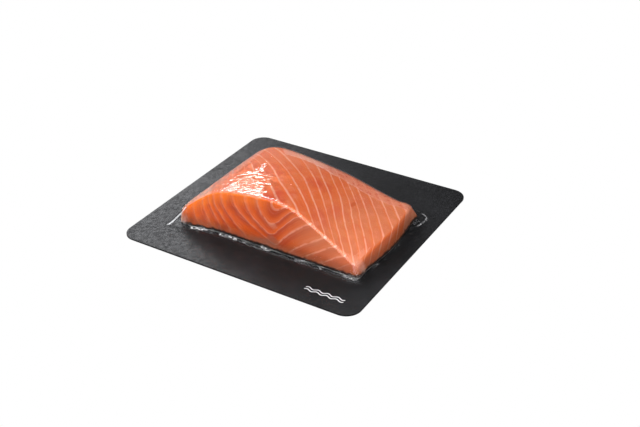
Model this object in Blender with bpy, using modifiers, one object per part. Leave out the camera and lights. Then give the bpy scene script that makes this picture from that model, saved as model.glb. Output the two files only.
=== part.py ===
"""A fillet of salmon, skin side down on a black card board, sealed under clear film.

Metres, +Z up. The origin is at the middle of the board's underside. +X runs from the thick back
of the fillet to its thin belly, and +Y from the cut front face to the far one.
"""

from math import atan2, cos, degrees, exp, pi, radians, sin

import bmesh
import bpy
from mathutils import Vector

MM = 0.001

# The card board.
BOARD_WIDTH = 200 * MM
BOARD_DEPTH = 183.7 * MM
BOARD_THICKNESS = 1.0 * MM
BOARD_CORNER = 11.6 * MM
ARC_STEPS = 10

# What lies on something else keeps this gap to it.
GAP = 0.3 * MM

# The fish's own skin, under the flesh.
SKIN_THICKNESS = 0.9 * MM
SKIN_INSET = 0.6 * MM
SKIN_BOTTOM = BOARD_THICKNESS + GAP
FLESH_BOTTOM = SKIN_BOTTOM + SKIN_THICKNESS + GAP

# The flesh's foot: where each side stands, and how far it drifts or bows.
FOOT_LEFT = -71.5 * MM
FOOT_RIGHT = 82.3 * MM
FOOT_FRONT = -53.0 * MM
FOOT_FAR = 41.0 * MM
LEFT_DRIFT = 4.6 * MM
RIGHT_BOW = 2.6 * MM
FRONT_TOE = 3.8 * MM
FRONT_TOE_REACH = 0.22
FAR_BOW = 2.0 * MM

# Sections across the fillet, front and far: heights above the board, in mm, at places along X.
SECTION_X = [-68, -56, -46, -34, -20, -4, 10, 24, 36, 56, 82]
FRONT_HEIGHTS = [15.5, 22.8, 29.4, 33.6, 36.0, 38.2, 38.9, 37.8, 32.6, 23.0, 13.6]
FAR_HEIGHTS = [15.5, 25.0, 30.4, 32.0, 30.8, 28.5, 26.2, 23.8, 21.2, 16.8, 12.4]
MIDDLE_SWELL = 1.2 * MM

# The right front corner droops, most at its point.
DROOP = 5.5 * MM
DROOP_REACH = 20 * MM

# How each side stands: the radius of its top edge, and how far it leans in from foot to top: by a
# length of its own, and by a share of its height where it was cut with one straight stroke.
SIDES = {
    "left": {"edge": 9.0 * MM, "lean": -1.8 * MM, "slant": 0},
    "right": {"edge": 2.2 * MM, "lean": 2.2 * MM, "slant": 0},
    "front": {"edge": 2.4 * MM, "lean": 1.5 * MM, "slant": 0.125},
    "far": {"edge": 7.0 * MM, "lean": 4.0 * MM, "slant": 0},
}
MOST_EDGE = 0.6

# How square each upright corner is at its foot: 2 is a round one. Further in it gets rounder.
CORNER_POWERS = {"left front": 12, "right front": 16, "left far": 2.3, "right far": 12}
CORNER_GROWTH = 2

# The grid that is draped over the fillet: rings run round it, outside a middle field.
FIELD_INSET = 14 * MM
FIELD_ACROSS = 26
FIELD_ALONG = 16
EDGE_RINGS = 3
WALL_RINGS = 3
SHOULDER_RING = 1 + EDGE_RINGS
FLESH_RINGS = SHOULDER_RING + WALL_RINGS

# How the grid's squares are split in two, in the quarters whose x and y have this sign together.
SPLITS = [("FIXED", 1), ("ALTERNATE", -1)]

# The film: it bridges from the flesh's foot to the board, and further out in its tents.
FILM_THICKNESS = 0.25 * MM
FILM_INSET = 0.4 * MM
FILM_FLOOR = BOARD_THICKNESS + GAP
BRIDGE = [(0.3, 0.75 * MM), (0.62, 0.2 * MM), (1.0, 0.0)]
BRIDGE_REACH = 4.2 * MM
FOOT_RING = FLESH_RINGS + len(BRIDGE)
FILM_RINGS = FOOT_RING + 1
TENTS = {
    "left front": {"turn": 39, "width": 15, "reach": 8.0 * MM},
    "right far": {"turn": 38, "width": 26, "reach": 6.8 * MM},
}


def smooth_through(places, values, at):
    """The value at a place, on a smooth curve through the values given at the places."""
    last = len(places) - 1
    at = min(max(at, places[0]), places[last])
    k = max(next(n for n in range(last + 1) if at <= places[n]) - 1, 0)
    before, after = max(k - 1, 0), min(k + 2, last)
    step = places[k + 1] - places[k]
    t = (at - places[k]) / step
    slope_in = (values[k + 1] - values[before]) / (places[k + 1] - places[before])
    slope_out = (values[after] - values[k]) / (places[after] - places[k])
    value = (2 * t**3 - 3 * t**2 + 1) * values[k] + (3 * t**2 - 2 * t**3) * values[k + 1]
    return value + ((t**3 - 2 * t**2 + t) * slope_in + (t**3 - t**2) * slope_out) * step


def top_height(x, y):
    """Height of the flesh's top over the underside: the front section turns into the far one."""
    along = min(max((y - FOOT_FRONT) / (FOOT_FAR - FOOT_FRONT), 0), 1)
    front = smooth_through(SECTION_X, FRONT_HEIGHTS, x / MM)
    far = smooth_through(SECTION_X, FAR_HEIGHTS, x / MM)
    swell = MIDDLE_SWELL * sin(pi * along)
    to_corner = ((x - FOOT_RIGHT) ** 2 + (y - FOOT_FRONT) ** 2) ** 0.5
    droop = DROOP * exp(-((to_corner / DROOP_REACH) ** 2))
    return BOARD_THICKNESS + (front + (far - front) * along) * MM + swell - droop


def foot_lines(across, along):
    """Where the left, right, front and far foot lines stand at these fractions of their length."""
    left = FOOT_LEFT + LEFT_DRIFT * along
    right = FOOT_RIGHT + RIGHT_BOW * sin(pi * along)
    front = FOOT_FRONT - FRONT_TOE * max(0, 1 - across / FRONT_TOE_REACH) ** 2
    far = FOOT_FAR + FAR_BOW * sin(pi * across)
    return left, right, front, far


def grid_place(i, j, rings):
    """A grid point's fractions across and along the field, its ring, and its way outwards."""
    past_x = max(i - rings - FIELD_ACROSS, 0) - max(rings - i, 0)
    past_y = max(j - rings - FIELD_ALONG, 0) - max(rings - j, 0)
    across = min(max((i - rings) / FIELD_ACROSS, 0), 1)
    along = min(max((j - rings) / FIELD_ALONG, 0), 1)
    ring = max(abs(past_x), abs(past_y))
    way = (past_x / ring, past_y / ring) if ring else (0, 0)
    return across, along, ring, way


def sides_of(way):
    return ("right" if way[0] > 0 else "left"), ("far" if way[1] > 0 else "front")


def side_value(key, way):
    """A side's own value, mixed between two sides round a corner."""
    name_x, name_y = sides_of(way)
    weight_x, weight_y = abs(way[0]), abs(way[1])
    total = SIDES[name_x][key] * weight_x + SIDES[name_y][key] * weight_y
    return total / (weight_x + weight_y)


def rounded(way, power):
    """The way outwards, shortened so that a ring runs round its corner."""
    size = (abs(way[0]) ** power + abs(way[1]) ** power) ** (1 / power)
    return way[0] / size, way[1] / size


def plan_point(across, along, way, out):
    """Plan place of the point this far outside the field's edge."""
    left, right, front, far = foot_lines(across, along)
    x = left + FIELD_INSET + (right - left - 2 * FIELD_INSET) * across
    y = front + FIELD_INSET + (far - front - 2 * FIELD_INSET) * along
    if way == (0, 0):
        return x, y
    square = CORNER_POWERS[" ".join(sides_of(way))] - 2
    way_x, way_y = rounded(way, 2 + square * min(out / FIELD_INSET, 1) ** CORNER_GROWTH)
    return x + way_x * out, y + way_y * out


def flesh_point(across, along, ring, way):
    """A point of the flesh's outside: the field and first ring on top, then the edge, then the side."""
    if ring == 0:
        x, y = plan_point(across, along, way, 0)
        return Vector((x, y, top_height(x, y)))
    height = top_height(*plan_point(across, along, way, FIELD_INSET)) - FLESH_BOTTOM
    lean = side_value("lean", way) + side_value("slant", way) * height
    rim_out = FIELD_INSET - lean
    rim = top_height(*plan_point(across, along, way, rim_out))
    edge = min(side_value("edge", way), MOST_EDGE * (rim - FLESH_BOTTOM))
    if ring <= SHOULDER_RING:
        turn = pi / 2 * (ring - 1) / EDGE_RINGS
        x, y = plan_point(across, along, way, rim_out - edge * (1 - sin(turn)))
        top = top_height(x, y) + (rim - top_height(x, y)) * sin(turn) ** 2
        return Vector((x, y, top - edge * (1 - cos(turn))))
    down = (ring - SHOULDER_RING) / WALL_RINGS
    x, y = plan_point(across, along, way, rim_out + lean * down)
    shoulder = rim - edge
    return Vector((x, y, shoulder + (FLESH_BOTTOM - shoulder) * down))


def board_edge_point(across, along, way):
    """The point of the film's cut edge, just inside the board's own."""
    corner = BOARD_CORNER - FILM_INSET
    half_x = BOARD_WIDTH / 2 - BOARD_CORNER
    half_y = BOARD_DEPTH / 2 - BOARD_CORNER
    way_x, way_y = rounded(way, 2)
    x = half_x * (2 * across - 1) + way_x * corner
    y = half_y * (2 * along - 1) + way_y * corner
    return Vector((x, y, FILM_FLOOR))


def tent_strength(way):
    """How far the film stands off in this direction, from 0 to 1, and the tent's reach."""
    tent = TENTS.get(" ".join(sides_of(way)))
    if tent is None or not (way[0] and way[1]):
        return 0, 0
    turn = degrees(atan2(abs(way[1]), abs(way[0])))
    return exp(-(((turn - tent["turn"]) / tent["width"]) ** 2)), tent["reach"]


def bridge_point(across, along, way, part, lift):
    """A point of the film where it bridges from the flesh's foot down to the board."""
    x, y = plan_point(across, along, way, FIELD_INSET + BRIDGE_REACH * part)
    return Vector((x, y, FILM_FLOOR + lift))


def film_point(across, along, ring, way, tight):
    """A point of the film: tight on the flesh and the board, or off them in a tent."""
    if ring == FILM_RINGS:
        return board_edge_point(across, along, way)
    if ring > FLESH_RINGS:
        part, lift = BRIDGE[ring - FLESH_RINGS - 1]
        tight = bridge_point(across, along, way, part, lift)
    strength, reach = tent_strength(way)
    if ring <= SHOULDER_RING or not strength:
        return tight
    shoulder = flesh_point(across, along, SHOULDER_RING, way)
    shoulder += Vector((*rounded(way, 2), 0)) * GAP
    x, y = plan_point(across, along, way, FIELD_INSET + reach)
    foot = Vector((x, y, FILM_FLOOR))
    taut = shoulder.lerp(foot, (ring - SHOULDER_RING) / (FOOT_RING - SHOULDER_RING))
    return tight.lerp(taut, strength)


def material(name, colour, roughness, alpha=1.0):
    look = bpy.data.materials.new(name)
    look.use_nodes = True
    shader = look.node_tree.nodes["Principled BSDF"]
    shader.inputs["Base Color"].default_value = (*colour, 1)
    shader.inputs["Roughness"].default_value = roughness
    shader.inputs["Alpha"].default_value = alpha
    return look


def add_object(name, data, collection, look):
    thing = bpy.data.objects.new(name, data)
    collection.objects.link(thing)
    data.materials.append(look)
    return thing


def is_quad_of(face, sign):
    centre = face.calc_center_median()
    return len(face.verts) == 4 and centre.x * centre.y * sign > 0


def draped_grid(rings, point):
    """A flat grid with rings round its field, each vertex moved to its own point of the form.

    Its squares are split along the corners' diagonals, so that each ring turns its corner
    evenly, and so that the film's facets keep off the flesh's.
    """
    columns, rows = FIELD_ACROSS + 2 * rings, FIELD_ALONG + 2 * rings
    sheet = bmesh.new()
    bmesh.ops.create_grid(sheet, x_segments=columns, y_segments=rows, size=1)
    vertices = {}
    for vertex in sheet.verts:
        i = round((vertex.co.x + 1) / 2 * columns)
        j = round((vertex.co.y + 1) / 2 * rows)
        vertices[i, j] = vertex
    for method, sign in SPLITS:
        quarter = [face for face in sheet.faces if is_quad_of(face, sign)]
        bmesh.ops.triangulate(sheet, faces=quarter, quad_method=method)
    for (i, j), vertex in vertices.items():
        vertex.co = point(i, j, *grid_place(i, j, rings))
    sheet.normal_update()
    return sheet, vertices


def finished_mesh(sheet, name):
    mesh = bpy.data.meshes.new(name)
    sheet.to_mesh(mesh)
    sheet.free()
    mesh.shade_smooth()
    mesh.set_sharp_from_angle(angle=radians(50))
    return mesh


def draped_flesh():
    return draped_grid(FLESH_RINGS, lambda i, j, *place: flesh_point(*place))


def flat_plate(name, outline, bottom, thickness, collection, look):
    """A flat piece: the filled outline of a 2D curve, extruded to its thickness."""
    curve = bpy.data.curves.new(name, "CURVE")
    curve.dimensions = "2D"
    curve.fill_mode = "BOTH"
    curve.extrude = thickness / 2
    spline = curve.splines.new("POLY")
    spline.points.add(len(outline) - 1)
    for point, (x, y) in zip(spline.points, outline):
        point.co = (x, y, 0, 1)
    spline.use_cyclic_u = True
    plate = add_object(name, curve, collection, look)
    plate.location.z = bottom + thickness / 2
    return plate


def make_board(collection):
    """The board: die-cut card, a rectangle with round corners."""
    outline = []
    for quarter, (side_x, side_y) in enumerate([(1, 1), (-1, 1), (-1, -1), (1, -1)]):
        centre_x = side_x * (BOARD_WIDTH / 2 - BOARD_CORNER)
        centre_y = side_y * (BOARD_DEPTH / 2 - BOARD_CORNER)
        for step in range(ARC_STEPS + 1):
            turn = (quarter + step / ARC_STEPS) * pi / 2
            outline.append((centre_x + BOARD_CORNER * cos(turn), centre_y + BOARD_CORNER * sin(turn)))
    card = material("black card", (0.045, 0.045, 0.05), 0.42)
    flat_plate("board", outline, 0, BOARD_THICKNESS, collection, card)


def make_fish_skin(collection):
    """The fish's skin: a thin layer that runs under the whole of the flesh."""
    columns, rows = FIELD_ACROSS + 2 * FLESH_RINGS, FIELD_ALONG + 2 * FLESH_RINGS
    walk = [(i, 0) for i in range(columns)] + [(columns, j) for j in range(rows)]
    walk += [(i, rows) for i in range(columns, 0, -1)] + [(0, j) for j in range(rows, 0, -1)]
    outline = []
    for i, j in walk:
        across, along, _, way = grid_place(i, j, FLESH_RINGS)
        outline.append(plan_point(across, along, way, FIELD_INSET - SKIN_INSET))
    silver = material("fish skin", (0.33, 0.33, 0.31), 0.35)
    flat_plate("fish_skin", outline, SKIN_BOTTOM, SKIN_THICKNESS, collection, silver)


def make_fillet(collection):
    """The flesh: the draped grid, closed by one flat face underneath."""
    sheet, _ = draped_flesh()
    rim = [edge for edge in sheet.edges if edge.is_boundary]
    for face in bmesh.ops.contextual_create(sheet, geom=rim)["faces"]:
        face.normal_update()
        if face.normal.z > 0:
            face.normal_flip()
    flesh = material("salmon flesh", (0.80, 0.25, 0.08), 0.38)
    add_object("fillet", finished_mesh(sheet, "fillet"), collection, flesh)


def make_film(collection):
    """The film: one sheet over the flesh, down to the board all round and out to the board's edge."""
    bare, vertices = draped_flesh()
    apron = FILM_RINGS - FLESH_RINGS

    def point(i, j, *place):
        under = vertices.get((i - apron, j - apron))
        tight = under.co + under.normal * GAP if under else None
        return film_point(*place, tight)

    sheet, _ = draped_grid(FILM_RINGS, point)
    bare.free()
    clear = material("clear film", (0.95, 0.95, 0.95), 0.08, alpha=0.15)
    cover = add_object("skin_film", finished_mesh(sheet, "skin_film"), collection, clear)
    wall = cover.modifiers.new("film thickness", "SOLIDIFY")
    wall.thickness = FILM_THICKNESS
    wall.offset = 1


def main():
    for thing in list(bpy.data.objects):
        bpy.data.objects.remove(thing, do_unlink=True)
    pack = bpy.data.collections.new("salmon fillet pack")
    bpy.context.scene.collection.children.link(pack)
    make_board(pack)
    make_fish_skin(pack)
    make_fillet(pack)
    make_film(pack)


main()
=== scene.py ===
"""The looks of a salmon fillet pack: the card board, the fish's skin, the flesh and the clear film."""

import math

import bpy
import numpy as np
from mathutils import Matrix, Vector, kdtree, noise


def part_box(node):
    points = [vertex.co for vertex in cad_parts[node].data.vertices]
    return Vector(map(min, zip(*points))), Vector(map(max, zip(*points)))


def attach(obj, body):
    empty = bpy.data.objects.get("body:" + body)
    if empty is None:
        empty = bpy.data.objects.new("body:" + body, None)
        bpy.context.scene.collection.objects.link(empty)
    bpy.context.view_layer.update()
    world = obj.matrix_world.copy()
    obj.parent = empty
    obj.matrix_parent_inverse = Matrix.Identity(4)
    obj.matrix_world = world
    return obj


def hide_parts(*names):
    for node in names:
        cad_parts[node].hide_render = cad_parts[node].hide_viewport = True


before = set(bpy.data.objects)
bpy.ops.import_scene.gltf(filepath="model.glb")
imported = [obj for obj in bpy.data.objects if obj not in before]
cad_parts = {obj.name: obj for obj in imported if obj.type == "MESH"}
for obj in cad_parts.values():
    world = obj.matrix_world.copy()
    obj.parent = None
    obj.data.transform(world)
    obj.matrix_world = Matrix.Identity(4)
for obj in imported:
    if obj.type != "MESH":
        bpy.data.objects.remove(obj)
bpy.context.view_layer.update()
MM = 0.001

# Camera: it stands at the front right and looks down on the pack at about 32 degrees, with a
# slight roll, through a lens a little longer than normal.
CAMERA_PLACE = Vector((0.34833, -0.52691, 0.39919))
CAMERA_RIGHT = Vector((0.85301, 0.52166, -0.01582))
CAMERA_UP = Vector((-0.26707, 0.46234, 0.84553))
CAMERA_LENS = 54.72
SENSOR_WIDTH = 36
CLIP_START = 0.01

camera_data = bpy.data.cameras.new("camera")
camera_data.lens = CAMERA_LENS
camera_data.sensor_width = SENSOR_WIDTH
camera_data.sensor_fit = "HORIZONTAL"
camera_data.clip_start = CLIP_START
camera = bpy.data.objects.new("camera", camera_data)
axes = Matrix((CAMERA_RIGHT, CAMERA_UP, CAMERA_RIGHT.cross(CAMERA_UP))).transposed()
camera.matrix_world = Matrix.Translation(CAMERA_PLACE) @ axes.to_4x4()
bpy.context.scene.collection.objects.link(camera)
bpy.context.scene.camera = camera

# Studio: a white paper floor and five softboxes. The one at the back is small and low, and the film
# mirrors it on the fillet's shoulder; the others are broad: left, overhead, and two in front.
# Directions are in degrees round and up, and a level is how bright a white sheet at the pack gets.
SOFTBOXES = {
    "back softbox": {"round": 142, "up": 31, "away": 1.1, "size": (0.5, 0.3), "level": 0.5},
    "left softbox": {"round": 185, "up": 58, "away": 1.4, "size": (1.9, 1.3), "level": 0.55},
    "top softbox": {"round": -70, "up": 74, "away": 1.6, "size": (2.8, 2.2), "level": 0.95},
    "front fill": {"round": -82, "up": 34, "away": 1.6, "size": (1.7, 1.5), "level": 0.86},
    "right fill": {"round": -15, "up": 36, "away": 1.6, "size": (1.8, 1.4), "level": 0.5},
}
LAMP_WHITE = (0.96, 0.97, 1)
AIM = Vector((0, 0, 0.02))
ROOM_SHADE = (1, 1, 1, 1)
ROOM_STRENGTH = 0.1
FLOOR_SIZE = 8
FLOOR_PALE = (1, 1, 1, 1)
FLOOR_GLOW = 1.0
FLOOR_DIM = (0.16, 0.16, 0.16, 1)
FLOOR_ROUGHNESS = 0.9


def put(tree, kind, inputs=(), **settings):
    """A node of this kind; an input is a value or another node's output."""
    node = tree.nodes.new(kind)
    for name, value in settings.items():
        setattr(node, name, value)
    for key, value in dict(inputs).items():
        if isinstance(value, bpy.types.NodeSocket):
            tree.links.new(value, node.inputs[key])
        else:
            node.inputs[key].default_value = value
    return node


def new_material(name):
    """A new material, its node tree and its Principled shader."""
    material = bpy.data.materials.new(name)
    material.use_nodes = True
    return material, material.node_tree, material.node_tree.nodes["Principled BSDF"]


def deselect_all():
    if bpy.context.object and bpy.context.object.mode != "OBJECT":
        bpy.ops.object.mode_set(mode="OBJECT")
    bpy.ops.object.select_all(action="DESELECT")


for name, box in SOFTBOXES.items():
    lamp_data = bpy.data.lights.new(name, "AREA")
    lamp_data.shape = "RECTANGLE"
    lamp_data.size, lamp_data.size_y = box["size"]
    lamp_data.color = LAMP_WHITE
    lamp_data.energy = box["level"] * math.pi**2 * box["away"] ** 2
    lamp = bpy.data.objects.new(name, lamp_data)
    turn, up = math.radians(box["round"]), math.radians(box["up"])
    way = Vector((math.cos(up) * math.cos(turn), math.cos(up) * math.sin(turn), math.sin(up)))
    lamp.location = AIM + way * box["away"]
    lamp.rotation_euler = way.to_track_quat("Z", "Y").to_euler()
    bpy.context.scene.collection.objects.link(lamp)

room = bpy.data.worlds.new("room")
room.use_nodes = True
room.node_tree.nodes["Background"].inputs["Color"].default_value = ROOM_SHADE
room.node_tree.nodes["Background"].inputs["Strength"].default_value = ROOM_STRENGTH
bpy.context.scene.world = room
bpy.context.scene.view_settings.view_transform = "Standard"

# The floor is dim to everything but the camera, so that it throws little light back up at the pack.
deselect_all()
bpy.ops.mesh.primitive_plane_add(size=FLOOR_SIZE)
floor = bpy.context.object
floor.name = "floor"
paper, tree, shader = new_material("pale paper")
shader.inputs["Base Color"].default_value = FLOOR_DIM
shader.inputs["Roughness"].default_value = FLOOR_ROUGHNESS
seen = put(tree, "ShaderNodeLightPath").outputs["Is Camera Ray"]
white = put(tree, "ShaderNodeEmission", {"Color": FLOOR_PALE, "Strength": FLOOR_GLOW})
both = put(tree, "ShaderNodeMixShader", {0: seen, 1: shader.outputs[0], 2: white.outputs[0]})
tree.links.new(both.outputs[0], tree.nodes["Material Output"].inputs["Surface"])
floor.data.materials.append(paper)

# Card board: die-cut black card, laminated, so it is nearly black with a satin face. Small blisters
# under the laminate make it look like fine leather. Two white waves are printed near the front edge.
# Here and in all materials below, places and sizes are in mm.
CARD_BLACK = (0.005, 0.005, 0.0055, 1)
CARD_WORN = (0.010, 0.010, 0.011, 1)
WORN_SIZE, WORN_RANGE = 40, (0.35, 0.7)
CARD_ROUGHNESS, ROUGH_SIZE = (0.42, 0.56), 6
CARD_SHINE = 0.12
BLISTER_SIZE, BLISTER_BUMP, BLISTER_DEPTH = 2.6, 0.35, 0.5
INK_WHITE = (0.8, 0.8, 0.8, 1)
WAVE_CENTRE = (70, -78)
WAVE_LENGTH = 31
WAVE_PERIOD = 7.75
WAVE_HEIGHT = 0.75
WAVE_STROKE = 0.7
WAVE_EDGE = (0.6, 0.4)
WAVES_APART = 2.4


def maths(tree, operation, a, b=0.0, clamp=False):
    inputs = {0: a, 1: b}
    return put(tree, "ShaderNodeMath", inputs, operation=operation, use_clamp=clamp).outputs[0]


def times(tree, *factors):
    product = factors[0]
    for factor in factors[1:]:
        product = maths(tree, "MULTIPLY", product, factor)
    return product


def blend(tree, factor, a, b):
    """Colour a turned into colour b by the factor."""
    inputs = {"Factor": factor, 6: a, 7: b}
    return put(tree, "ShaderNodeMix", inputs, data_type="RGBA").outputs[2]


def fade(tree, value, low, high):
    """0 at low and past it, 1 at high and past it, smooth between; low may be the greater."""
    inputs = {"Value": value, "From Min": low, "From Max": high}
    return put(tree, "ShaderNodeMapRange", inputs, interpolation_type="SMOOTHSTEP").outputs[0]


def between(tree, value, start, end, low=0.0, high=1.0):
    """Start where the value is low, end where it is high, and straight between."""
    inputs = {"Value": value, "From Min": low, "From Max": high, "To Min": start, "To Max": end}
    return put(tree, "ShaderNodeMapRange", inputs).outputs[0]


def grain(tree, vector, size, detail=3.0, roughness=0.55):
    """Noise with spots of about this size."""
    inputs = {"Vector": vector, "Scale": 1 / size, "Detail": detail, "Roughness": roughness}
    return put(tree, "ShaderNodeTexNoise", inputs).outputs["Fac"]


def place_in_mm(tree):
    """The place on the piece, as a vector and as x, y and z."""
    metres = put(tree, "ShaderNodeTexCoord").outputs["Object"]
    scale = {0: metres, "Scale": 1 / MM}
    place = put(tree, "ShaderNodeVectorMath", scale, operation="SCALE").outputs[0]
    return place, *put(tree, "ShaderNodeSeparateXYZ", {0: place}).outputs


def roughen(tree, shader, height, strength, depth):
    """Bumps of this depth in mm all over; gives back the bumped normal."""
    inputs = {"Height": height, "Strength": strength, "Distance": depth * MM}
    normal = put(tree, "ShaderNodeBump", inputs).outputs[0]
    tree.links.new(normal, shader.inputs["Normal"])
    return normal


def make_card():
    card, tree, shader = new_material("laminated black card")
    place, x, y, _ = place_in_mm(tree)
    worn = fade(tree, grain(tree, place, WORN_SIZE), *WORN_RANGE)
    black = blend(tree, worn, CARD_BLACK, CARD_WORN)
    along = maths(tree, "SUBTRACT", x, WAVE_CENTRE[0])
    crest = times(tree, maths(tree, "SINE", times(tree, along, math.tau / WAVE_PERIOD)), WAVE_HEIGHT)
    off = maths(tree, "SUBTRACT", maths(tree, "SUBTRACT", y, WAVE_CENTRE[1]), crest)
    off = maths(tree, "SUBTRACT", maths(tree, "ABSOLUTE", off), WAVES_APART / 2)
    outside, inside = WAVE_EDGE
    ink = fade(tree, maths(tree, "ABSOLUTE", off), WAVE_STROKE * outside, WAVE_STROKE * inside)
    ink = times(tree, ink, maths(tree, "LESS_THAN", maths(tree, "ABSOLUTE", along), WAVE_LENGTH / 2))
    tree.links.new(blend(tree, ink, black, INK_WHITE), shader.inputs["Base Color"])
    rough = between(tree, grain(tree, place, ROUGH_SIZE), *CARD_ROUGHNESS)
    tree.links.new(rough, shader.inputs["Roughness"])
    blisters = grain(tree, place, BLISTER_SIZE, detail=4.0, roughness=0.6)
    roughen(tree, shader, blisters, BLISTER_BUMP, BLISTER_DEPTH)
    shader.inputs["Specular IOR Level"].default_value = CARD_SHINE
    return card


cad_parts["board"].material_slots[0].material = make_card()

# Fish skin: the salmon's own silver skin, left on under the flesh, where it shows only as a thin
# grey line at the foot of the cut faces.
SKIN_SILVER = (0.33, 0.33, 0.31, 1)
SKIN_DARK = (0.05, 0.055, 0.06, 1)
DARK_SIZE, DARK_RANGE = 9, (0.4, 0.62)
SCALE_SIZE, SCALE_BUMP, SCALE_DEPTH = 2.2, 0.4, 0.2
SKIN_ROUGHNESS = 0.32


def make_skin():
    skin, tree, shader = new_material("silver fish skin")
    place, _, _, _ = place_in_mm(tree)
    dark = fade(tree, grain(tree, place, DARK_SIZE), *DARK_RANGE)
    tree.links.new(blend(tree, dark, SKIN_SILVER, SKIN_DARK), shader.inputs["Base Color"])
    scales = put(tree, "ShaderNodeTexVoronoi", {"Vector": place, "Scale": 1 / SCALE_SIZE}).outputs[0]
    roughen(tree, shader, scales, SCALE_BUMP, SCALE_DEPTH)
    shader.inputs["Roughness"].default_value = SKIN_ROUGHNESS
    return skin


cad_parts["fish_skin"].material_slots[0].material = make_skin()

# Fillet: raw salmon, cut from the fish's flank. Sheets of white fat part the muscle into flakes;
# they show as lines on the top, and as nested bowls on the two cut faces. All sizes are in mm.
FINE_LEVELS = 3
MERGE_WITHIN = 0.001 * MM
JOIN_ANGLE = 70
FLESH_FOOT = 2.6
FACING_DOWN = -0.9
# Where the top's fat lines cross the middle of the fillet, and how far they lean.
LINES_CROSS = [-83, -77, -72, -67, -62, -57, -51, -43, -34, -24, -8,
               5, 17, 26, 36, 44, 51, 59, 69, 80, 91, 102]
LEAN_FAR, LEAN_NEAR = 0.95, 0.78
LEAN_CHANGES = (-12, 12)
LEAN_MORE, LEAN_MORE_NEAR = 0.55, 0.7
LEAN_CENTRE, LEAN_WIDTH = -15, 28
BELLY_DRIFT = 0.7
# Bowls on the front face, left half: where each meets the ridge, and how fast it runs to the right
# with the square of its depth.
BOWL_STARTS = [-74, -70, -65, -59, -52, -47, -43, -37, -27.5, -16, -5, 8, 24]
BOWL_RINGS = [10, 9, 8, 7, 6, 5, 4, 3, 2, 1, 0, -1, -2.4]
BOWL_PLACES = [-60, -53, -50, -37, -24, -15, 0]
BOWL_SWEEPS = [0.014, 0.018, 0.0205, 0.028, 0.042, 0.036, 0.04]
SWEEP_GUESS = 0.03
# Right half: lines run down to the left at a steady slope, and turn flat where they meet the ridge.
RIGHT_STARTS = [8, 18, 25, 31, 39.5, 52, 60, 68, 75, 82, 89]
RIGHT_RINGS = [-2, -1, 0, 1, 2, 3, 4, 5, 6, 7, 8]
RIGHT_SLOPE = 0.83
RIDGE_TURN, RIDGE_TURN_DEPTH = 1, 2
SEAM_SOFTNESS = 1.0
# The trimmed strip along the far side starts at this line.
TRIM_X = [-76, -36, -28, -18, -5, 5, 15, 30, 45, 55, 70, 84]
TRIM_Y = [40, 34, 24.5, 26.5, 27.2, 26, 23.2, 22, 21, 21, 24, 28]
TRIM_EDGE = (-0.6, 0.8)
# A face counts as cut by how steeply it looks that way, and by how far out it lies.
FRONT_CUT = (0.42, 0.68), (28, 38)
FAR_CUT = (0.6, 0.72), (24, 30)
BELLY_CUT = (0.5, 0.85), (60, 75)
# The ridge is read off the rounded edge in columns: from, to and step, and how wide each one is.
RIDGE_COLUMNS, COLUMN_REACH = (-78, 92, 2.0), 2.5
RIDGE_BEFORE, RIDGE_TILT, TILT_REACH, RIDGE_RISE = -30, 0.5, 0.2, 0.3
EDGE_ROWS, ROW_REACH, EDGE_FROM, EDGE_LOWEST = (-58, 48, 2.0), 2, 72, 8
# Layers of noise that unsettle the lines: size, height and shift of each.
WANDER = [(22, 1.0, 0.0), (7, 0.4, 5.0), (2.4, 0.25, 15.0)]
FACE_WANDER = 0.8
DEPTH_WANDER = [(5, 0.5, 21.0)]
TRIM_WANDER = [(9, 1.2, 3.0)]
# How the run of a line is measured: y and a share of x on the top, x less a share of z on a cut.
ALONG_TOP, ALONG_CUT = 0.3, 0.5
# The flakes' relief: each flake swells between its lines, which are sunk.
SWELL = [(16, 0.12, 9.0)]
PILLOW_TOP, PILLOW_FRONT = 0.09, 0.14
GROOVE, GROOVE_WIDTH = 0.1, 0.05
RELIEF_DROP, RELIEF_STARTS = 0.08, 2.5


def start_from(node, name):
    """A copy of a CAD node's mesh: its loose triangles merged, and its squares made whole."""
    piece = bpy.data.objects.new(name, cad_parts[node].data.copy())
    piece.data.name = name
    piece.data.materials.clear()
    bpy.context.scene.collection.objects.link(piece)
    deselect_all()
    bpy.context.view_layer.objects.active = piece
    piece.select_set(True)
    bpy.ops.mesh.customdata_custom_splitnormals_clear()
    bpy.ops.object.mode_set(mode="EDIT")
    bpy.ops.mesh.select_all(action="SELECT")
    bpy.ops.mesh.remove_doubles(threshold=MERGE_WITHIN)
    angle = math.radians(JOIN_ANGLE)
    bpy.ops.mesh.tris_convert_to_quads(face_threshold=angle, shape_threshold=angle)
    bpy.ops.object.mode_set(mode="OBJECT")
    return piece


def select_faces(piece, wanted):
    """Goes into edit mode with only the faces selected that the test picks by centre and normal."""
    bpy.ops.object.mode_set(mode="EDIT")
    bpy.ops.mesh.select_mode(type="FACE")
    bpy.ops.mesh.select_all(action="DESELECT")
    bpy.ops.object.mode_set(mode="OBJECT")
    for face in piece.data.polygons:
        face.select = wanted(face.center, face.normal)
    bpy.ops.object.mode_set(mode="EDIT")


def delete_faces(piece, wanted):
    select_faces(piece, wanted)
    bpy.ops.mesh.delete(type="FACE")
    bpy.ops.object.mode_set(mode="OBJECT")


def smooth_finely(piece, levels):
    modifier = piece.modifiers.new("finer", "SUBSURF")
    modifier.levels = modifier.render_levels = levels
    bpy.ops.object.modifier_apply(modifier=modifier.name)


def points_of(mesh):
    """The mesh's points and their normals, the points in mm."""
    places = np.empty(len(mesh.vertices) * 3)
    mesh.vertices.foreach_get("co", places)
    normals = np.empty(len(mesh.vertices) * 3)
    mesh.vertices.foreach_get("normal", normals)
    return places.reshape(-1, 3) / MM, normals.reshape(-1, 3)


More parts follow.
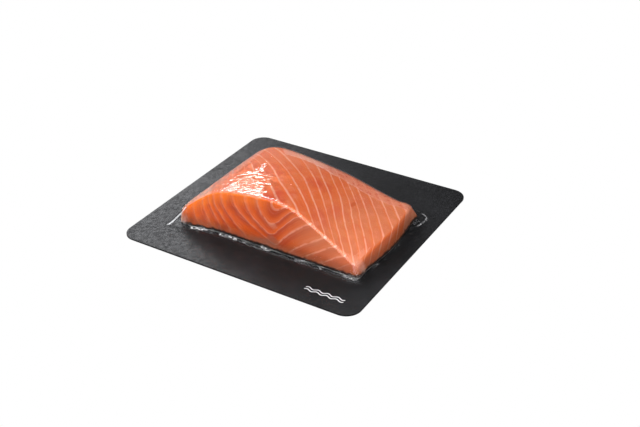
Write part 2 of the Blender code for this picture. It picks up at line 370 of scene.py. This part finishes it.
def set_points(mesh, points):
    mesh.vertices.foreach_set("co", (points * MM).ravel())
    mesh.update()


def keep_values(mesh, name, *columns):
    """Stores three values of each point as a vector attribute for the material."""
    attribute = mesh.attributes.new(name, "FLOAT_VECTOR", "POINT")
    attribute.data.foreach_set("vector", np.column_stack(columns).astype(np.float32).ravel())


def ramp(value, low, high):
    """0 at low, 1 at high, smooth between, for arrays."""
    t = np.clip((value - low) / (high - low), 0, 1)
    return t * t * (3 - 2 * t)


def noise_at(points, size, shift=0.0):
    """Smooth noise from -1 to 1, with waves of about this size; the size may differ by axis."""
    scaled = points / np.array(size) + shift
    return np.array([noise.noise(Vector(p)) for p in scaled])


def waves(points, layers):
    return sum(noise_at(points, size, shift) * height for size, height, shift in layers)


def cut_share(steepness, distance, limits):
    """How far each point belongs to a face that looks this steeply one way, this far out."""
    steep, far_out = limits
    return ramp(steepness, *steep) * ramp(distance, *far_out)


def top_rings(x, y):
    """Number of the fat line at a place on top: whole on a line, between two lines in the flake."""
    far = ramp(y, *LEAN_CHANGES)
    bulge = np.exp(-(((x + y - LEAN_CENTRE) / LEAN_WIDTH) ** 2))
    more = LEAN_MORE * (LEAN_MORE_NEAR + (1 - LEAN_MORE_NEAR) * far) * bulge
    lean = LEAN_NEAR + (LEAN_FAR - LEAN_NEAR) * far + more
    return np.interp(x + y * lean, LINES_CROSS, np.arange(len(LINES_CROSS)))


def front_rings(x, depth):
    """Number of the fat line at a place on a cut face, depth being how far it is under the ridge."""
    guess = x - SWEEP_GUESS * depth**2
    start = x - np.interp(guess, BOWL_PLACES, BOWL_SWEEPS) * depth**2
    left = np.interp(start, BOWL_STARTS, BOWL_RINGS)
    start = x + RIGHT_SLOPE * depth - RIDGE_TURN * np.exp(-depth / RIDGE_TURN_DEPTH)
    right = np.interp(start, RIGHT_STARTS, RIGHT_RINGS)
    mixed = np.clip(0.5 + 0.5 * (left - right) / SEAM_SOFTNESS, 0, 1)
    return right + (left - right) * mixed + SEAM_SOFTNESS * mixed * (1 - mixed)


def ridge_over(points, normals):
    """The y and z of the ridge beside each point: the middle of the front face's rounded top edge."""
    x, y, z = points.T
    tilted = abs(normals[:, 1] + RIDGE_TILT) < TILT_REACH
    turning = (y < RIDGE_BEFORE) & tilted & (normals[:, 2] > RIDGE_RISE)
    found = []
    for column in np.arange(*RIDGE_COLUMNS):
        near = turning & (abs(x - column) < COLUMN_REACH)
        if near.any():
            found.append((column, y[near].mean(), z[near].mean()))
    columns, ridge_y, ridge_z = np.array(found).T
    return np.interp(x, columns, ridge_y), np.interp(x, columns, ridge_z)


def under_belly_edge(points):
    """How far each point lies under the top edge of the thin belly side."""
    x, y, z = points.T
    rows = np.arange(*EDGE_ROWS)
    edge = [z[(abs(y - row) < ROW_REACH) & (x > EDGE_FROM)].max(initial=EDGE_LOWEST) for row in rows]
    return np.maximum(np.interp(y, rows, edge) - z, 0)


def make_fillet_mesh():
    fillet = start_from("fillet", "salmon_fillet")
    delete_faces(fillet, lambda centre, normal: normal.z < FACING_DOWN and centre.z < FLESH_FOOT * MM)
    smooth_finely(fillet, FINE_LEVELS)
    bpy.ops.object.mode_set(mode="EDIT")
    bpy.ops.mesh.select_all(action="DESELECT")
    bpy.ops.mesh.select_mode(type="EDGE")
    bpy.ops.mesh.select_non_manifold()
    bpy.ops.mesh.edge_face_add()
    bpy.ops.object.mode_set(mode="OBJECT")
    points, normals = points_of(fillet.data)
    x, y, z = points.T
    ridge_y, ridge_z = ridge_over(points, normals)
    depth = np.maximum(ridge_z - z, 0)
    from_ridge = np.hypot(y - ridge_y, z - ridge_z) * np.where(y > ridge_y, 1, -1)
    side = cut_share(normals[:, 0], x, BELLY_CUT)
    cut = np.maximum(cut_share(-normals[:, 1], -y, FRONT_CUT), cut_share(normals[:, 1], y, FAR_CUT))

    wander = waves(points, WANDER)
    top = top_rings(x + wander, y + BELLY_DRIFT * under_belly_edge(points) * side)
    front = front_rings(x + wander * FACE_WANDER, depth + waves(points, DEPTH_WANDER))
    rings = np.where(cut > 0.5, front, top)
    off = np.abs(rings - np.round(rings))
    pillow = np.sqrt(np.clip(off * 2, 0, 1)) * np.where(cut > 0.5, PILLOW_FRONT, PILLOW_TOP)
    groove = np.exp(-((off / GROOVE_WIDTH) ** 2)) * GROOVE
    lift = pillow - groove + waves(points, SWELL) - RELIEF_DROP
    lift *= ramp(z, FLESH_FOOT, FLESH_FOOT + RELIEF_STARTS)
    set_points(fillet.data, points + normals * lift[:, None])
    trim = y - np.interp(x, TRIM_X, TRIM_Y) + waves(points, TRIM_WANDER)
    keep_values(fillet.data, "top_flakes", top, y + x * ALONG_TOP, trim)
    keep_values(fillet.data, "face_flakes", front, x - z * ALONG_CUT, depth)
    keep_values(fillet.data, "faces", cut, side, from_ridge)
    fillet.data.shade_smooth()
    return fillet


# Flesh colours of raw farmed salmon: orange muscle, white to pink fat, and the browner trimmed edge;
# among them painted light and shade on the cuts, a painted sheen, a ridge highlight and foot shadow.
# The top is paler than the cut faces, partly by a painted sheen of the film.
MUSCLE = (0.78, 0.19, 0.055, 1)
MUSCLE_RED = (0.70, 0.11, 0.045, 1)
# Paler muscle of its own in streaks and blotches, and a painted sheen on the top towards the left.
PALE_MUSCLE_AND_SHEEN = (0.82, 0.29, 0.16, 1)
CUT_MUSCLE = (0.83, 0.155, 0.018, 1)
# Cut muscle with painted shade, for the shaded side of each flake and towards the foot; also dark
# streaks of its own.
DARK_CUT_AND_SHADE = (0.56, 0.065, 0.016, 1)
# Cut muscle with painted light: the lit side of each flake, the brighter left, and the glow under the
# ridge.
PAINTED_LIGHT_ORANGE = (0.92, 0.22, 0.028, 1)
FAT_LINE = (0.90, 0.47, 0.33, 1)
CUT_LINE = (0.88, 0.38, 0.22, 1)
FAT_WHITE = (0.90, 0.56, 0.45, 1)
TRIM_PINK = (0.80, 0.32, 0.20, 1)
TRIM_RED = (0.66, 0.13, 0.075, 1)
GREY_FAT = (0.36, 0.20, 0.15, 1)
BELLY_MUSCLE = (0.72, 0.27, 0.125, 1)
# Painted shade and painted shadow at the foot of the flesh.
PAINTED_FOOT_SHADE = (0.30, 0.085, 0.04, 1)
PAINTED_FOOT_SHADOW = (0.025, 0.015, 0.012, 1)
# Painted highlight along the ridge.
PAINTED_RIDGE_HIGHLIGHT = (0.92, 0.46, 0.30, 1)
# Tints are laid one over the other. Each has its colour, its strength, and the fields that bound it:
# a field's name, and the values from which and at which it lets the tint through, or the name alone.
TOP_TINTS = [
    (MUSCLE_RED, 1, ("cloud", 0.42, 0.66)),
    (PALE_MUSCLE_AND_SHEEN, 0.7, ("streaks", 0.5, 0.8)),
    # Painted sheen: the top paler towards the left.
    (PALE_MUSCLE_AND_SHEEN, 0.75, ("x", 20, -60)),
    (PALE_MUSCLE_AND_SHEEN, 0.55, ("y", 0, 28), ("x", 35, -15)),
    (BELLY_MUSCLE, 0.75, ("x", 20, 65)),
    (MUSCLE_RED, 0.2, ("blotch", 0.5, 0.68)),
    (PALE_MUSCLE_AND_SHEEN, 0.4, ("blotch", 0.48, 0.3)),
    # Painted light on one side of each flake.
    (PAINTED_LIGHT_ORANGE, 0.3, ("in flake", 0.55, 0.95)),
    (DARK_CUT_AND_SHADE, 0.5, ("gap",)),
    (FAT_LINE, 0.9, ("lines",), ("mottle", 0.25, 0.5)),
]
STRIP_TINTS = [
    (TRIM_RED, 1, ("mottle", 0.46, 0.68)),
    (FAT_WHITE, 1, ("frayed x", 34, 2)),
]
SEAM_TINTS = [
    (FAT_WHITE, 0.8, ("off seam", 1.3, 0.3), ("mottle", 0.35, 0.62), ("x", -40, -24), ("x", 90, 20)),
]
CUT_TINTS = [
    # Painted shade under each line, turning to lit muscle across the flake.
    (CUT_MUSCLE, 1, ("in flake", 0.1, 0.85)),
    (MUSCLE, 0.6, ("streaks", 0.48, 0.72)),
    (DARK_CUT_AND_SHADE, 0.5, ("streaks", 0.48, 0.3)),
    # Painted light: brighter to the left, and glowing under the ridge.
    (PAINTED_LIGHT_ORANGE, 0.35, ("x", -20, -65)),
    (PAINTED_LIGHT_ORANGE, 0.85, ("depth", 11, 1), ("x", 20, -15)),
    (BELLY_MUSCLE, 0.6, ("x", 10, 50)),
    # Painted shade, darker towards the foot.
    (DARK_CUT_AND_SHADE, 0.4, ("z", 20, 5)),
    (CUT_LINE, 0.2, ("halo",), ("streaks", 0.35, 0.6)),
    (CUT_LINE, 1, ("lines",), ("line strength",), ("mottle", 0.3, 0.52)),
    (CUT_LINE, 0.4, ("fat node",)),
    (GREY_FAT, 0.4, ("grey spot",)),
    (GREY_FAT, 0.5, ("grey foot",)),
]
EDGE_TINTS = [
    (CUT_MUSCLE, 0.6, ("side",)),
    (CUT_LINE, 0.6, ("side",), ("top lines",)),
    # Painted highlight along the right half of the ridge.
    (PAINTED_RIDGE_HIGHLIGHT, 0.45, ("off ridge", 0.5, 0.2), ("x", 14, 26), ("side", 1, 0), ("mottle", 0.4, 0.55)),
    (FAT_WHITE, 0.8, ("cut lines",), ("off ridge", 1.8, 0.7), ("x", 10, 20)),
    # Painted shade, then painted shadow, darkening the foot.
    (PAINTED_FOOT_SHADE, 0.8, ("frayed z", 15, 6)),
    (PAINTED_FOOT_SHADOW, 1, ("frayed z", 7.2, 5.6)),
    (FAT_WHITE, 0.6, ("white corner",)),
    (FAT_WHITE, 0.5, ("pale corner",)),
]
# Single spots: centre, reach, and how much each axis counts towards the distance.
SPOTS = {
    "gap": ((48, 0, 22), 4.5, (1.9, 0.7, 0)),
    "fat node": ((10, -49, 21), 3.5, (0.7, 0, 1)),
    "grey spot": ((10, -50, 9.5), 5.5, (0.7, 0, 1)),
    "grey foot": ((4, -50, 6.5), 9, (0.5, 0, 2.5)),
    "white corner": ((-75, -55, 5), 12, (0.9, 0.6, 1)),
    "pale corner": ((77, -45, 6), 6, (0.8, 1, 0.8)),
}
SPOT_EDGE, TORN_SIZE, TORN_SHARE = (1.4, 0.7), 3, 0.8
CLOUD_SIZE, BLOTCH_SIZE, MOTTLE_SIZE = 26, 8, 3.5
FRAY_X, FRAY_Z = 20, 4
STRIP_COVER = {"start": 0.4, "end": 0.75, "low": -40, "high": 20}
LINE_STRENGTH = {"start": 0.28, "end": 0.95, "low": -20, "high": 25}
# Half widths of the lines, as a share of a flake, and how the lines thin out and break along their run.
TOP_LINE, CUT_LINE_WIDTH, HALO = 0.085, 0.085, 0.32
LINE_TRAIL = {"across": 1, "lengthwise": 0.06, "size": 1.6, "detail": 2.0, "roughness": 0.55}
STREAK_TRAIL = {"across": 9, "lengthwise": 0.09, "size": 1.0, "detail": 4.0, "roughness": 0.6}
LINE_BREAKS = (0.25, 0.6)
THIN_TO_THICK, WEAK_TO_STRONG = (0.5, 1.3), (0.4, 1.0)
WIDTH_SHARE, LEAST_WIDTH, LINE_EDGE = 0.8, 0.012, (1.25, 0.35)
FLESH_ROUGHNESS = (0.36, 0.52)
FLESH_SHINE = 0.12
FIBRE_SIZE, FIBRE_BUMP, FIBRE_DEPTH = 0.9, 0.25, 0.12
GLOW_SHARE, GLOW_RADIUS, GLOW_DEPTH = 0.2, (1.0, 0.3, 0.12), 2.5 * MM


def fat_line_group():
    """Shared by the top and the cut faces: masks of the fat lines and of the streaks between them."""
    group = bpy.data.node_groups.new("fat lines", "ShaderNodeTree")
    for name in ("Rings", "Half width", "Along"):
        group.interface.new_socket(name, in_out="INPUT", socket_type="NodeSocketFloat")
    for name in ("Lines", "Streaks"):
        group.interface.new_socket(name, in_out="OUTPUT", socket_type="NodeSocketFloat")
    given = group.nodes.new("NodeGroupInput").outputs
    result = group.nodes.new("NodeGroupOutput").inputs

    def trail(across, lengthwise, size, detail, roughness):
        """Noise drawn out along the lines."""
        sides = {0: times(group, given["Rings"], across), 1: times(group, given["Along"], lengthwise)}
        drawn = put(group, "ShaderNodeCombineXYZ", sides).outputs[0]
        return grain(group, drawn, size, detail, roughness)

    strength = fade(group, trail(**LINE_TRAIL), *LINE_BREAKS)
    width = times(group, given["Half width"], between(group, strength, *THIN_TO_THICK))
    width = maths(group, "ADD", times(group, width, WIDTH_SHARE), LEAST_WIDTH)
    off = maths(group, "PINGPONG", given["Rings"], 0.5)
    sharp = fade(group, maths(group, "DIVIDE", off, width), *LINE_EDGE)
    group.links.new(times(group, sharp, between(group, strength, *WEAK_TO_STRONG)), result["Lines"])
    group.links.new(trail(**STREAK_TRAIL), result["Streaks"])
    return group


def make_flesh():
    flesh, tree, shader = new_material("raw salmon")
    lines = fat_line_group()
    place, x, y, z = place_in_mm(tree)

    def attribute(name):
        read = put(tree, "ShaderNodeAttribute", attribute_name=name).outputs["Vector"]
        return put(tree, "ShaderNodeSeparateXYZ", {0: read}).outputs

    def lines_of(rings, along, width):
        inputs = {"Rings": rings, "Along": along, "Half width": width}
        return put(tree, "ShaderNodeGroup", inputs, node_tree=lines).outputs

    def spot(centre, reach, stretch):
        """1 at the centre, 0 from the reach on, with a torn edge."""
        off = put(tree, "ShaderNodeVectorMath", {0: place, 1: centre}, operation="SUBTRACT").outputs[0]
        off = put(tree, "ShaderNodeVectorMath", {0: off, 1: stretch}, operation="MULTIPLY").outputs[0]
        far = put(tree, "ShaderNodeVectorMath", {0: off}, operation="LENGTH").outputs["Value"]
        torn = times(tree, grain(tree, place, TORN_SIZE), reach * TORN_SHARE)
        outer, inner = SPOT_EDGE
        return fade(tree, maths(tree, "ADD", far, torn), reach * outer, reach * inner)

    def lay(colour, tints, fields):
        for tint, strength, *bounds in tints:
            masks = [fade(tree, fields[name], *limits) if limits else fields[name]
                     for name, *limits in bounds]
            colour = blend(tree, times(tree, *masks, strength), colour, tint)
        return colour

    top_number, top_along, trim = attribute("top_flakes")
    cut_number, cut_along, depth = attribute("face_flakes")
    cut, side, from_ridge = attribute("faces")
    top_lines, top_streaks = lines_of(top_number, top_along, TOP_LINE)
    cut_lines, cut_streaks = lines_of(cut_number, cut_along, CUT_LINE_WIDTH)
    halo, _ = lines_of(cut_number, cut_along, HALO)
    mottle = grain(tree, place, MOTTLE_SIZE, detail=4.0, roughness=0.65)
    common = {"x": x, "y": y, "z": z, "mottle": mottle}
    common |= {name: spot(*sizes) for name, sizes in SPOTS.items()}

    # The top: muscle with paler and redder patches, a painted sheen towards the left, painted light on
    # one side of each flake, and fat lines, then the trimmed far strip.
    fields = common | {
        "cloud": grain(tree, place, CLOUD_SIZE),
        "blotch": grain(tree, place, BLOTCH_SIZE, detail=1.5),
        "streaks": top_streaks,
        "in flake": maths(tree, "FRACT", top_number),
        "lines": top_lines,
        "frayed x": maths(tree, "ADD", x, times(tree, mottle, FRAY_X)),
        "off seam": maths(tree, "ABSOLUTE", trim),
    }
    top = lay(MUSCLE, TOP_TINTS, fields)
    strip = lay(TRIM_PINK, STRIP_TINTS, fields)
    trimmed = times(tree, fade(tree, trim, *TRIM_EDGE), between(tree, x, **STRIP_COVER))
    top = lay(blend(tree, trimmed, top, strip), SEAM_TINTS, fields)

    # The cut faces: each flake goes from painted shade under its line to painted light, brightest under
    # the ridge.
    fields = common | {
        "depth": depth,
        "streaks": cut_streaks,
        "in flake": maths(tree, "FRACT", cut_number),
        "lines": cut_lines,
        "halo": halo,
        "line strength": between(tree, x, **LINE_STRENGTH),
    }
    front = lay(DARK_CUT_AND_SHADE, CUT_TINTS, fields)

    # Both together: the belly's side, the ridge with its knots of fat and a painted highlight, and
    # painted shade and shadow at the foot.
    fields = common | {
        "side": side,
        "top lines": top_lines,
        "cut lines": cut_lines,
        "off ridge": maths(tree, "ABSOLUTE", from_ridge),
        "frayed z": maths(tree, "ADD", z, times(tree, mottle, FRAY_Z)),
    }
    colour = lay(blend(tree, cut, top, front), EDGE_TINTS, fields)
    tree.links.new(colour, shader.inputs["Base Color"])
    tree.links.new(between(tree, mottle, *FLESH_ROUGHNESS), shader.inputs["Roughness"])
    roughen(tree, shader, grain(tree, place, FIBRE_SIZE), FIBRE_BUMP, FIBRE_DEPTH)
    shader.inputs["Specular IOR Level"].default_value = FLESH_SHINE
    shader.inputs["Subsurface Weight"].default_value = GLOW_SHARE
    shader.inputs["Subsurface Radius"].default_value = GLOW_RADIUS
    shader.inputs["Subsurface Scale"].default_value = GLOW_DEPTH
    return flesh


fillet = make_fillet_mesh()
fillet.data.materials.append(make_flesh())
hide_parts("fillet")
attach(fillet, "root")

# Film: clear skin-pack film, drawn down hot over the fish and sealed to the card all over. It clings
# to the flesh, bridges to the card at its foot in a crinkled bead, and stands off in two small
# tents. Sizes are in mm where they aren't times MM.
FILM_LEVELS = 2
FILM_WALL = 0.12 * MM
RIM_INSET, RIM_HEIGHT = 0.05 * MM, 0.3 * MM
FAR_BELOW = Vector((5 * MM, -5 * MM, -60 * MM))
SHARP_ANGLE = 50
LOWEST_FILM = 1.2
# How far from the flesh's foot the loose bead runs, where the film lies sealed, and up to what height.
BEAD_MIDDLE, BEAD_WIDTH = 1.8, 2.3
SEALED_FROM, SEALED_AT = 3.5, 6.5
SEALED_DROP = 0.33
LOW_FILM = (8, 4)
FOOT_BAND = 0.2
# The sharp folds at the edges of the two tents: each fold's points and its whiteness, partly crushed
# film and partly a painted highlight.
TENT_FOLDS = [
    (((-76.6, -62.9, 1.8), (-74.5, -60.4, 3.9), (-69.3, -56.3, 10.4), (-65.3, -54.5, 16)), 0.6),
    (((88.2, 41.7, 2.1), (88.2, 36.5, 1.6), (86.9, 29.1, 1.5)), 0.3),
    (((88.2, 41.7, 2.1), (85.5, 41.8, 4.3), (83, 34, 10)), 0.25),
    (((87, 17, 1.4), (84, 14, 6)), 0.2),
]
FOLD_WIDTH, FOLD_STEPS = 0.65, 30
# The creased patches: where, how wide each way, how deep, and the folds' direction in degrees,
# length and width.
CREASED = {
    "shoulder": {"at": (-27, -31), "reach": (18, 15), "deep": 0.75, "turn": 31, "fold": (9, 3.6)},
    "fine shoulder": {"at": (-28, -34), "reach": (17, 14), "deep": 0.2, "turn": 24, "fold": (7, 2)},
    "left top": {"at": (-44, -47), "reach": (14, 5), "deep": 0.3, "turn": 75, "fold": (5, 1.5)},
    "ridge": {"at": (13, -45), "reach": (10, 5), "deep": 0.6, "turn": 50, "fold": (4.5, 2.8)},
    "long ridge": {"at": (10, -47), "reach": (60, 3), "deep": 0.2, "turn": 80, "fold": (4, 2)},
    "middle": {"at": (4, -17), "reach": (5, 7), "deep": 0.5, "turn": 40, "fold": (4, 2.8)},
}
CREASES_RISE, LOWEST_CREASE = (8, 14), -0.25
CREST_HEIGHT, CREST_FALL, FOLD_DEPTH, CREASE_SHIFT = 0.55, 1.8, 4.0, 7.0
FLATTENED, CREASE_ENDS = 0.4, 0.02
# The finer mesh that the creases need: from x to x, from y to y, and from what height.
FINE_CREASE_X, FINE_CREASE_Y, FINE_CREASE_HEIGHT = (-62, 28), (-56, -6), 14
SLACK = [(9, 0.05, 2.0)]
CRUMPLE, SHARP_CRUMPLE = [(3.2, 0.5, 11.0)], [(1.7, 0.5, 13.0)]


def tree_of(points):
    tree = kdtree.KDTree(len(points))
    for n, point in enumerate(points):
        tree.insert(point, n)
    tree.balance()
    return tree


def from_foot(points):
    """Each point's plan distance from the flesh's foot: 0 above the flesh itself."""
    flesh, _ = points_of(fillet.data)
    foot = flesh[flesh[:, 2] < FLESH_FOOT + FOOT_BAND] * (1, 1, 0)
    tree = tree_of(foot)
    middle = foot.mean(axis=0)
    away = []
    for x, y, _ in points:
        nearest, _, distance = tree.find((x, y, 0))
        outside = math.dist((x, y), middle[:2]) > math.dist(nearest[:2], middle[:2])
        away.append(distance if outside else 0)
    return np.array(away)


def near_folds(points):
    """How white each point of the film is with the folds of the tents."""
    white = np.zeros(len(points))
    for corners, whiteness in TENT_FOLDS:
        fold = tree_of([Vector(start).lerp(Vector(end), step / FOLD_STEPS)
                        for start, end in zip(corners, corners[1:]) for step in range(FOLD_STEPS)])
        away = np.array([fold.find(point)[2] for point in points])
        white = np.maximum(white, whiteness * np.exp(-((away / FOLD_WIDTH) ** 2)))
    return white


def film_parts(points):
    """How far each point belongs to the sealed film, to the loose bead, and to a tent's fold."""
    away = from_foot(points)
    low = ramp(points[:, 2], *LOW_FILM)
    bead = np.exp(-(((away - BEAD_MIDDLE) / BEAD_WIDTH) ** 2)) * low
    return ramp(away, SEALED_FROM, SEALED_AT) * low, bead, near_folds(points)


def creases_at(points):
    """How high the creases stand at each point."""
    x, y, z = points.T
    creases = np.zeros(len(points))
    for patch in CREASED.values():
        (middle_x, middle_y), (reach_x, reach_y) = patch["at"], patch["reach"]
        inside = np.exp(-(((x - middle_x) / reach_x) ** 2) - ((y - middle_y) / reach_y) ** 2)
        inside *= ramp(z, *CREASES_RISE)
        where = inside > CREASE_ENDS
        turn = math.radians(patch["turn"])
        along = x * math.cos(turn) + y * math.sin(turn)
        across = y * math.cos(turn) - x * math.sin(turn)
        spots = np.column_stack((along, across, z * FLATTENED))[where]
        folds = np.abs(noise_at(spots, (*patch["fold"], FOLD_DEPTH), CREASE_SHIFT))
        creases[where] += (CREST_HEIGHT - folds * CREST_FALL) * inside[where] * patch["deep"]
    return np.maximum(creases, LOWEST_CREASE)


def make_film_mesh():
    film = start_from("skin_film", "clear_film")
    low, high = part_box("skin_film")

    def inner_or_rim(centre, normal):
        rim = abs(normal.z) < 0.5 and centre.z < low.z + RIM_HEIGHT and (
            centre.x < low.x + RIM_INSET or centre.x > high.x - RIM_INSET
            or centre.y < low.y + RIM_INSET or centre.y > high.y - RIM_INSET)
        return rim or normal.dot(centre - FAR_BELOW) < 0

    def creased(centre, normal):
        x, y, z = centre / MM
        (left, right), (near, far) = FINE_CREASE_X, FINE_CREASE_Y
        return left < x < right and near < y < far and z > FINE_CREASE_HEIGHT

    delete_faces(film, inner_or_rim)
    smooth_finely(film, FILM_LEVELS)
    select_faces(film, creased)
    bpy.ops.mesh.subdivide(number_cuts=1)
    bpy.ops.object.mode_set(mode="OBJECT")
    points, normals = points_of(film.data)
    sealed, bead, _ = film_parts(points)
    lift = waves(points, SLACK) * (1 - sealed) + creases_at(points)
    lift += (waves(points, CRUMPLE) + np.abs(waves(points, SHARP_CRUMPLE))) * bead
    points = points + normals * lift[:, None]
    points[:, 2] = np.maximum(points[:, 2] - SEALED_DROP * sealed, LOWEST_FILM)
    set_points(film.data, points)
    film.data.materials.append(make_clear("clear film", inner=False))
    film.data.materials.append(make_clear("clear film inside", inner=True))
    wall = film.modifiers.new("wall", "SOLIDIFY")
    wall.thickness = FILM_WALL
    wall.offset = -1
    wall.material_offset = 1
    bpy.ops.object.modifier_apply(modifier=wall.name)
    keep_values(film.data, "film_parts", *film_parts(points_of(film.data)[0]))
    bpy.ops.object.shade_smooth_by_angle(angle=math.radians(SHARP_ANGLE))
    return film


# Clear film only mirrors, like metal that is seen through. It mirrors less where it is sealed down
# or bunched in the bead, unevenly on the card and the shoulder, and turns white where it is crushed;
# that white is also painted highlights along the tents' folds and painted glints in the bead.
FILM_WHITE = (0.95, 0.95, 0.95, 1)
FILM_IOR = 1.45
FILM_ROUGHNESS = (0.06, 0.36)
INNER_SHEEN = 0.012
SEALED_SHARE, BEAD_SHARE = 0.18, 0.1
SHEEN_SHARE = 0.9
SPECKS = {"start": -0.8, "end": 0.8, "low": 0.35, "high": 0.65}
SHOULDER_Y, SHOULDER_RIGHT, SHOULDER_LEFT = (8, -8), (9, -9), (-68, -54)
RIPPLE_SIZE, RIPPLE_SHARE = 4, 0.2
LEATHER_SIZE, LEATHER_SHARE = 2.6, 0.35
CRINKLE_SIZE, CRINKLE_SHARE = 1.1, 0.9
FILM_BUMP, FILM_DEPTH = 0.7, 0.6
VEIN_SIZE, VEIN_EDGE = 1.7, (0.05, 0.015)
PATCH_SIZE, PATCH_EDGE = 7, (0.44, 0.56)
# The white of crushed film, which also paints glints in the bead and highlights along the tents' folds.
CRUSHED_AND_GLINTING_BEAD = (0.74, 0.95)
BEAD_MILK_AND_GLINTS = {"start": 1.0, "end": 0.45, "low": 10, "high": 45}
FRONT_MILK_AND_GLINTS = {"start": 1, "end": 0.3, "low": -38, "high": -28}
FOLD_MILK_AND_GLINTS = {"start": 0.55, "end": 1.2, "low": 0.35, "high": 0.55}
WHITE_TO_METAL = (0.25, 0.05)


def make_clear(name, inner):
    """The film's outer face mirrors more at a slant; the inner one adds a weak even sheen."""
    clear, tree, shader = new_material(name)
    place, x, y, _ = place_in_mm(tree)
    parts = put(tree, "ShaderNodeAttribute", attribute_name="film_parts").outputs["Vector"]
    sealed, bead, fold = put(tree, "ShaderNodeSeparateXYZ", {0: parts}).outputs
    leather = grain(tree, place, LEATHER_SIZE, detail=2.0, roughness=0.6)
    height = times(tree, grain(tree, place, RIPPLE_SIZE), RIPPLE_SHARE)
    height = maths(tree, "ADD", height, times(tree, leather, sealed, LEATHER_SHARE))
    crinkles = grain(tree, place, CRINKLE_SIZE, detail=2.0)
    height = maths(tree, "ADD", height, times(tree, crinkles, bead, CRINKLE_SHARE))
    normal = roughen(tree, shader, height, FILM_BUMP, FILM_DEPTH)
    tree.links.new(between(tree, sealed, *FILM_ROUGHNESS), shader.inputs["Roughness"])

    # Painted glints: white veins in the bead, and white along the tents' folds, partly crushed film and
    # partly painted highlights.
    veins = maths(tree, "SUBTRACT", grain(tree, place, VEIN_SIZE, detail=1.5), 0.5)
    milk_and_glints = times(tree, fade(tree, maths(tree, "ABSOLUTE", veins), *VEIN_EDGE),
                  fade(tree, bead, *CRUSHED_AND_GLINTING_BEAD),
                  fade(tree, grain(tree, place, PATCH_SIZE), *PATCH_EDGE),
                  between(tree, x, **BEAD_MILK_AND_GLINTS), between(tree, y, **FRONT_MILK_AND_GLINTS))
    milk_and_glints = maths(tree, "MAXIMUM", milk_and_glints, times(tree, fold, between(tree, leather, **FOLD_MILK_AND_GLINTS)))
    shader.inputs["Base Color"].default_value = FILM_WHITE
    tree.links.new(fade(tree, milk_and_glints, *WHITE_TO_METAL), shader.inputs["Metallic"])

    shoulder = times(tree, fade(tree, y, *SHOULDER_Y), fade(tree, x, *SHOULDER_RIGHT),
                     fade(tree, x, *SHOULDER_LEFT))
    uneven = maths(tree, "MAXIMUM", sealed, shoulder)
    specks = times(tree, between(tree, leather, **SPECKS), uneven)
    sight = put(tree, "ShaderNodeFresnel", {"IOR": FILM_IOR, "Normal": normal}).outputs[0]
    mirror = times(tree, sight, between(tree, sealed, 1, SEALED_SHARE),
                   between(tree, bead, 1, BEAD_SHARE), maths(tree, "ADD", specks, SHEEN_SHARE))
    if inner:
        factor = times(tree, maths(tree, "SUBTRACT", 1.0, sealed), INNER_SHEEN)
    else:
        factor = maths(tree, "ADD", mirror, milk_and_glints, clamp=True)
    open_air = put(tree, "ShaderNodeBsdfTransparent")
    mixed = put(tree, "ShaderNodeMixShader", {0: factor, 1: open_air.outputs[0], 2: shader.outputs[0]})
    tree.links.new(mixed.outputs[0], tree.nodes["Material Output"].inputs["Surface"])
    return clear


film = make_film_mesh()
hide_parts("skin_film")
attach(film, "root")
